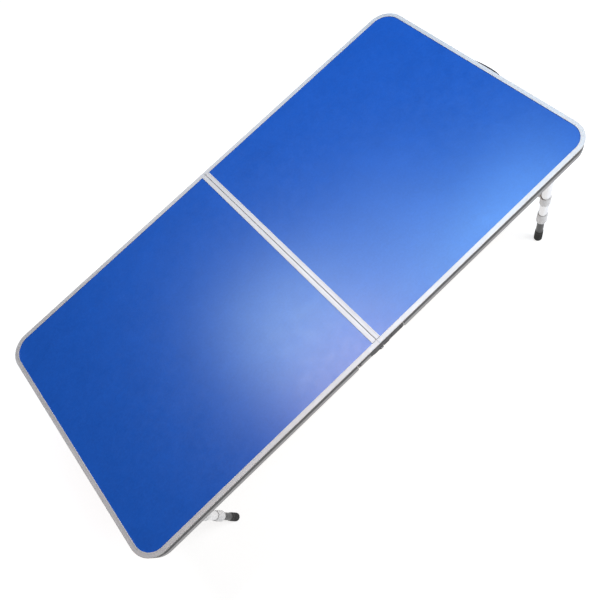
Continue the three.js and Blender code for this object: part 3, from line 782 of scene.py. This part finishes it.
# ---------------------------------------------------------------- assembly
RAIL = ["rail_x", "rail_y", "rail_side_shade", "rail_shade_band"]
for hand, side in HALVES:
    half, legs = f"{hand}_half", f"{hand}_leg_frame"
    leg_y = LEG_Y[hand]
    crossbar_z = middle(f"{hand}_crossbar").z
    bar_x, bar_z = LEG_X + 4.0, crossbar_z
    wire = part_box(f"{hand}_brace")
    wire_far = wire[0].x if side < 0 else wire[1].x
    wire_x = abs(wire_far - SEAM_X) / MM - WIRE_R
    wire_z = wire[0].z / MM + WIRE_R
    piece(f"{hand}_board", half, top_board().placed(side), ["laminate", "fibreboard"],
          [f"{hand}_top_board"])
    piece(f"{hand}_rail", half, edge_rail(hand).placed(side), RAIL, [f"{hand}_edge_rail"])
    piece(f"{hand}_fold_rail", half, seam_rail().placed(side), ["rail_y"],
          [f"{hand}_seam_rail"])
    piece(f"{hand}_cross_tube", legs, crossbar_tube(bar_x, bar_z, leg_y).placed(side),
          ["crossbar"], [f"{hand}_crossbar"])
    piece(f"{hand}_brace_bar", f"{hand}_brace_wire", brace_wire(wire_x, wire_z).placed(side),
          ["zinc"], [f"{hand}_brace"])
    piece(f"{hand}_snap_clip", legs, brace_clip(bar_x, bar_z, wire_x, wire_z).placed(side),
          ["black"], [f"{hand}_brace_clip"])
    for place, end in ENDS:
        def made(name, body, slot, shape, look_name, node=None):
            nodes = [f"{hand}_{place}_{node}"] if node else []
            return piece(f"{hand}_{place}_{name}", body, shape.placed(side, end), [look_name], nodes)

        sliding = f"{hand}_{place}_lower_leg"
        made("hinge", half, "black_plastic", hinge_leaf(hand), "black", "hinge_leaf")
        if hand == "left":
            # left hinge plates: lower band in the darker painted-shade aluminium, upper band in the near-black
            # painted shade under the lip
            piece(f"{hand}_{place}_hinge_plate", half, hinge_plate().placed(side, end),
                  ["rail_side_shade", "rail_shade_band"])
        else:
            made("hinge_plate", half, "black_plastic", hinge_plate().paint(0), "black")
        made("hinge_rivets", half, "zinc_steel", hinge_rivets(hand), "black")
        made("saddle", half, "black_plastic", brace_saddle(), "black", "brace_saddle")
        made("bracket", half, "grey_plastic", leg_bracket(leg_y), "grey", "leg_bracket")
        made("pivot_bolt", half, "zinc_steel", pivot_bolt(leg_y), "zinc", "leg_pivot_bolt")
        made("corner_insert", half, "black_plastic", corner_insert(), "black")
        made("corner_screws", half, "zinc_steel", corner_screws(), "zinc")
        made("elbow", legs, "grey_plastic", leg_head(leg_y), "grey", "leg_head")
        made("upper_leg_tube", legs, "tube_aluminium",
             ring_tube(LEG_X, leg_y, UPPER_LOW, 328.2, 10.0, 8.9, (137.0, 145.0)), "tube", "upper_tube")
        made("crossbar_sleeve", legs, "pale_plastic", crossbar_sleeve(bar_x, bar_z, leg_y), "pale")
        made("lock_collar", f"{hand}_{place}_lock", "pale_plastic", twist_collar(LEG_X, leg_y), "pale",
             "twist_collar")
        made("lower_leg_tube", sliding, "black_tube", ring_tube(LEG_X, leg_y, 10.4, 320, 8.5, 7.3, (50.0,)),
             "black_tube", "lower_tube")
        made("rubber_foot", sliding, "black_plastic", foot(LEG_X, leg_y), "rubber", "foot")

for place, end in ENDS:
    piece(f"{place}_fold_pin", "left_half", hinge_pin().placed(1, end), ["zinc"],
          [f"{place}_hinge_pin"])
    piece(f"{place}_hook_plate", f"{place}_hook", clasp().placed(1, end), ["zinc"],
          [f"{place}_clasp"])
    piece(f"{place}_hook_rivet", "right_half", stud(HEIGHT - 14).placed(1, end), ["zinc"],
          [f"{place}_clasp_rivet"])
    piece(f"{place}_keeper_stud", "left_half", stud(HEIGHT - 18).placed(-1, end), ["zinc"],
          [f"{place}_clasp_keeper"])

piece("handle_mount", "right_half", handle_base(), ["black"], ["handle_base"])
piece("handle_grip", "handle", handle_bail(), ["black"], ["carry_handle"])


# ---------------------------------------------------------------- studio
def area(name, place, target, width, depth, radiance):
    """A soft rectangular light of a given RGB radiance, aimed at a point."""
    data = bpy.data.lights.new(name, "AREA")
    data.shape = "RECTANGLE"
    data.size, data.size_y = width, depth
    data.energy = max(radiance) * math.pi * width * depth
    data.color = [channel / max(radiance) for channel in radiance]
    lamp = bpy.data.objects.new(name, data)
    lamp.location = place
    lamp.rotation_euler = (Vector(target) - Vector(place)).to_track_quat("-Z", "Y").to_euler()
    bpy.context.scene.collection.objects.link(lamp)


def studio():
    bm = bmesh.new()
    bmesh.ops.create_grid(bm, x_segments=8, y_segments=8, size=60)
    mesh = bpy.data.meshes.new("floor")
    bm.to_mesh(mesh)
    bm.free()
    floor = bpy.data.objects.new("floor", mesh)
    floor.location.z = -0.0002
    pale = bpy.data.materials.new("floor")
    pale.use_nodes = True
    shader = pale.node_tree.nodes["Principled BSDF"]
    shader.inputs["Base Color"].default_value = (0.5, 0.5, 0.5, 1)
    shader.inputs["Roughness"].default_value = 0.9
    shader.inputs["Specular IOR Level"].default_value = 0.1
    shader.inputs["Emission Color"].default_value = (1, 1, 1, 1)
    shader.inputs["Emission Strength"].default_value = 0.78
    mesh.materials.append(pale)
    bpy.context.scene.collection.objects.link(floor)

    world = bpy.data.worlds.new("studio")
    world.use_nodes = True
    dim = world.node_tree.nodes["Background"]
    dim.inputs["Color"].default_value = (1, 1, 1, 1)
    dim.inputs["Strength"].default_value = 0.10
    seen = world.node_tree.nodes.new("ShaderNodeBackground")
    seen.inputs["Color"].default_value = (1, 1, 1, 1)
    either = world.node_tree.nodes.new("ShaderNodeMixShader")
    path = world.node_tree.nodes.new("ShaderNodeLightPath")
    links = world.node_tree.links
    links.new(path.outputs["Is Camera Ray"], either.inputs[0])
    links.new(dim.outputs[0], either.inputs[1])
    links.new(seen.outputs[0], either.inputs[2])
    links.new(either.outputs[0], world.node_tree.nodes["World Output"].inputs[0])
    bpy.context.scene.world = world

    area("key", (1.2, -1.35, 2.4), (0.0, 0.0, 0.36), 1.2, 1.2, (9.5, 9.5, 9.5))
    for name, x, y, width, depth, radiance in (
            ("seam_strip", 0.0, 0.3, 0.6, 0.35, (17, 11.5, 11.7)),
            ("middle_strip", 0.6, 0.3, 0.6, 0.35, (7.2, 8.8, 9.5)),
            ("end_strip", 1.25, 0.3, 0.7, 0.35, (8, 14, 20.5)),
            ("far_patch", -0.1, 0.8, 0.6, 0.6, (8, 9.2, 9.1)),
            ("far_end_patch", 0.6, 0.8, 0.8, 0.6, (2, 3, 4.5))):
        area(name, (x, y, 2.4), (x, y, 0.0), width, depth, radiance)


studio()

camera_data = bpy.data.cameras.new("camera")
camera_data.lens = CAMERA_LENS
camera_data.sensor_width = 36.0
camera_data.shift_x, camera_data.shift_y = CAMERA_SHIFT
camera = bpy.data.objects.new("camera", camera_data)
camera.location = CAMERA_PLACE
camera.rotation_euler = [math.radians(a) for a in CAMERA_TURN]
bpy.context.scene.collection.objects.link(camera)
bpy.context.scene.camera = camera
bpy.context.scene.view_settings.view_transform = "Standard"
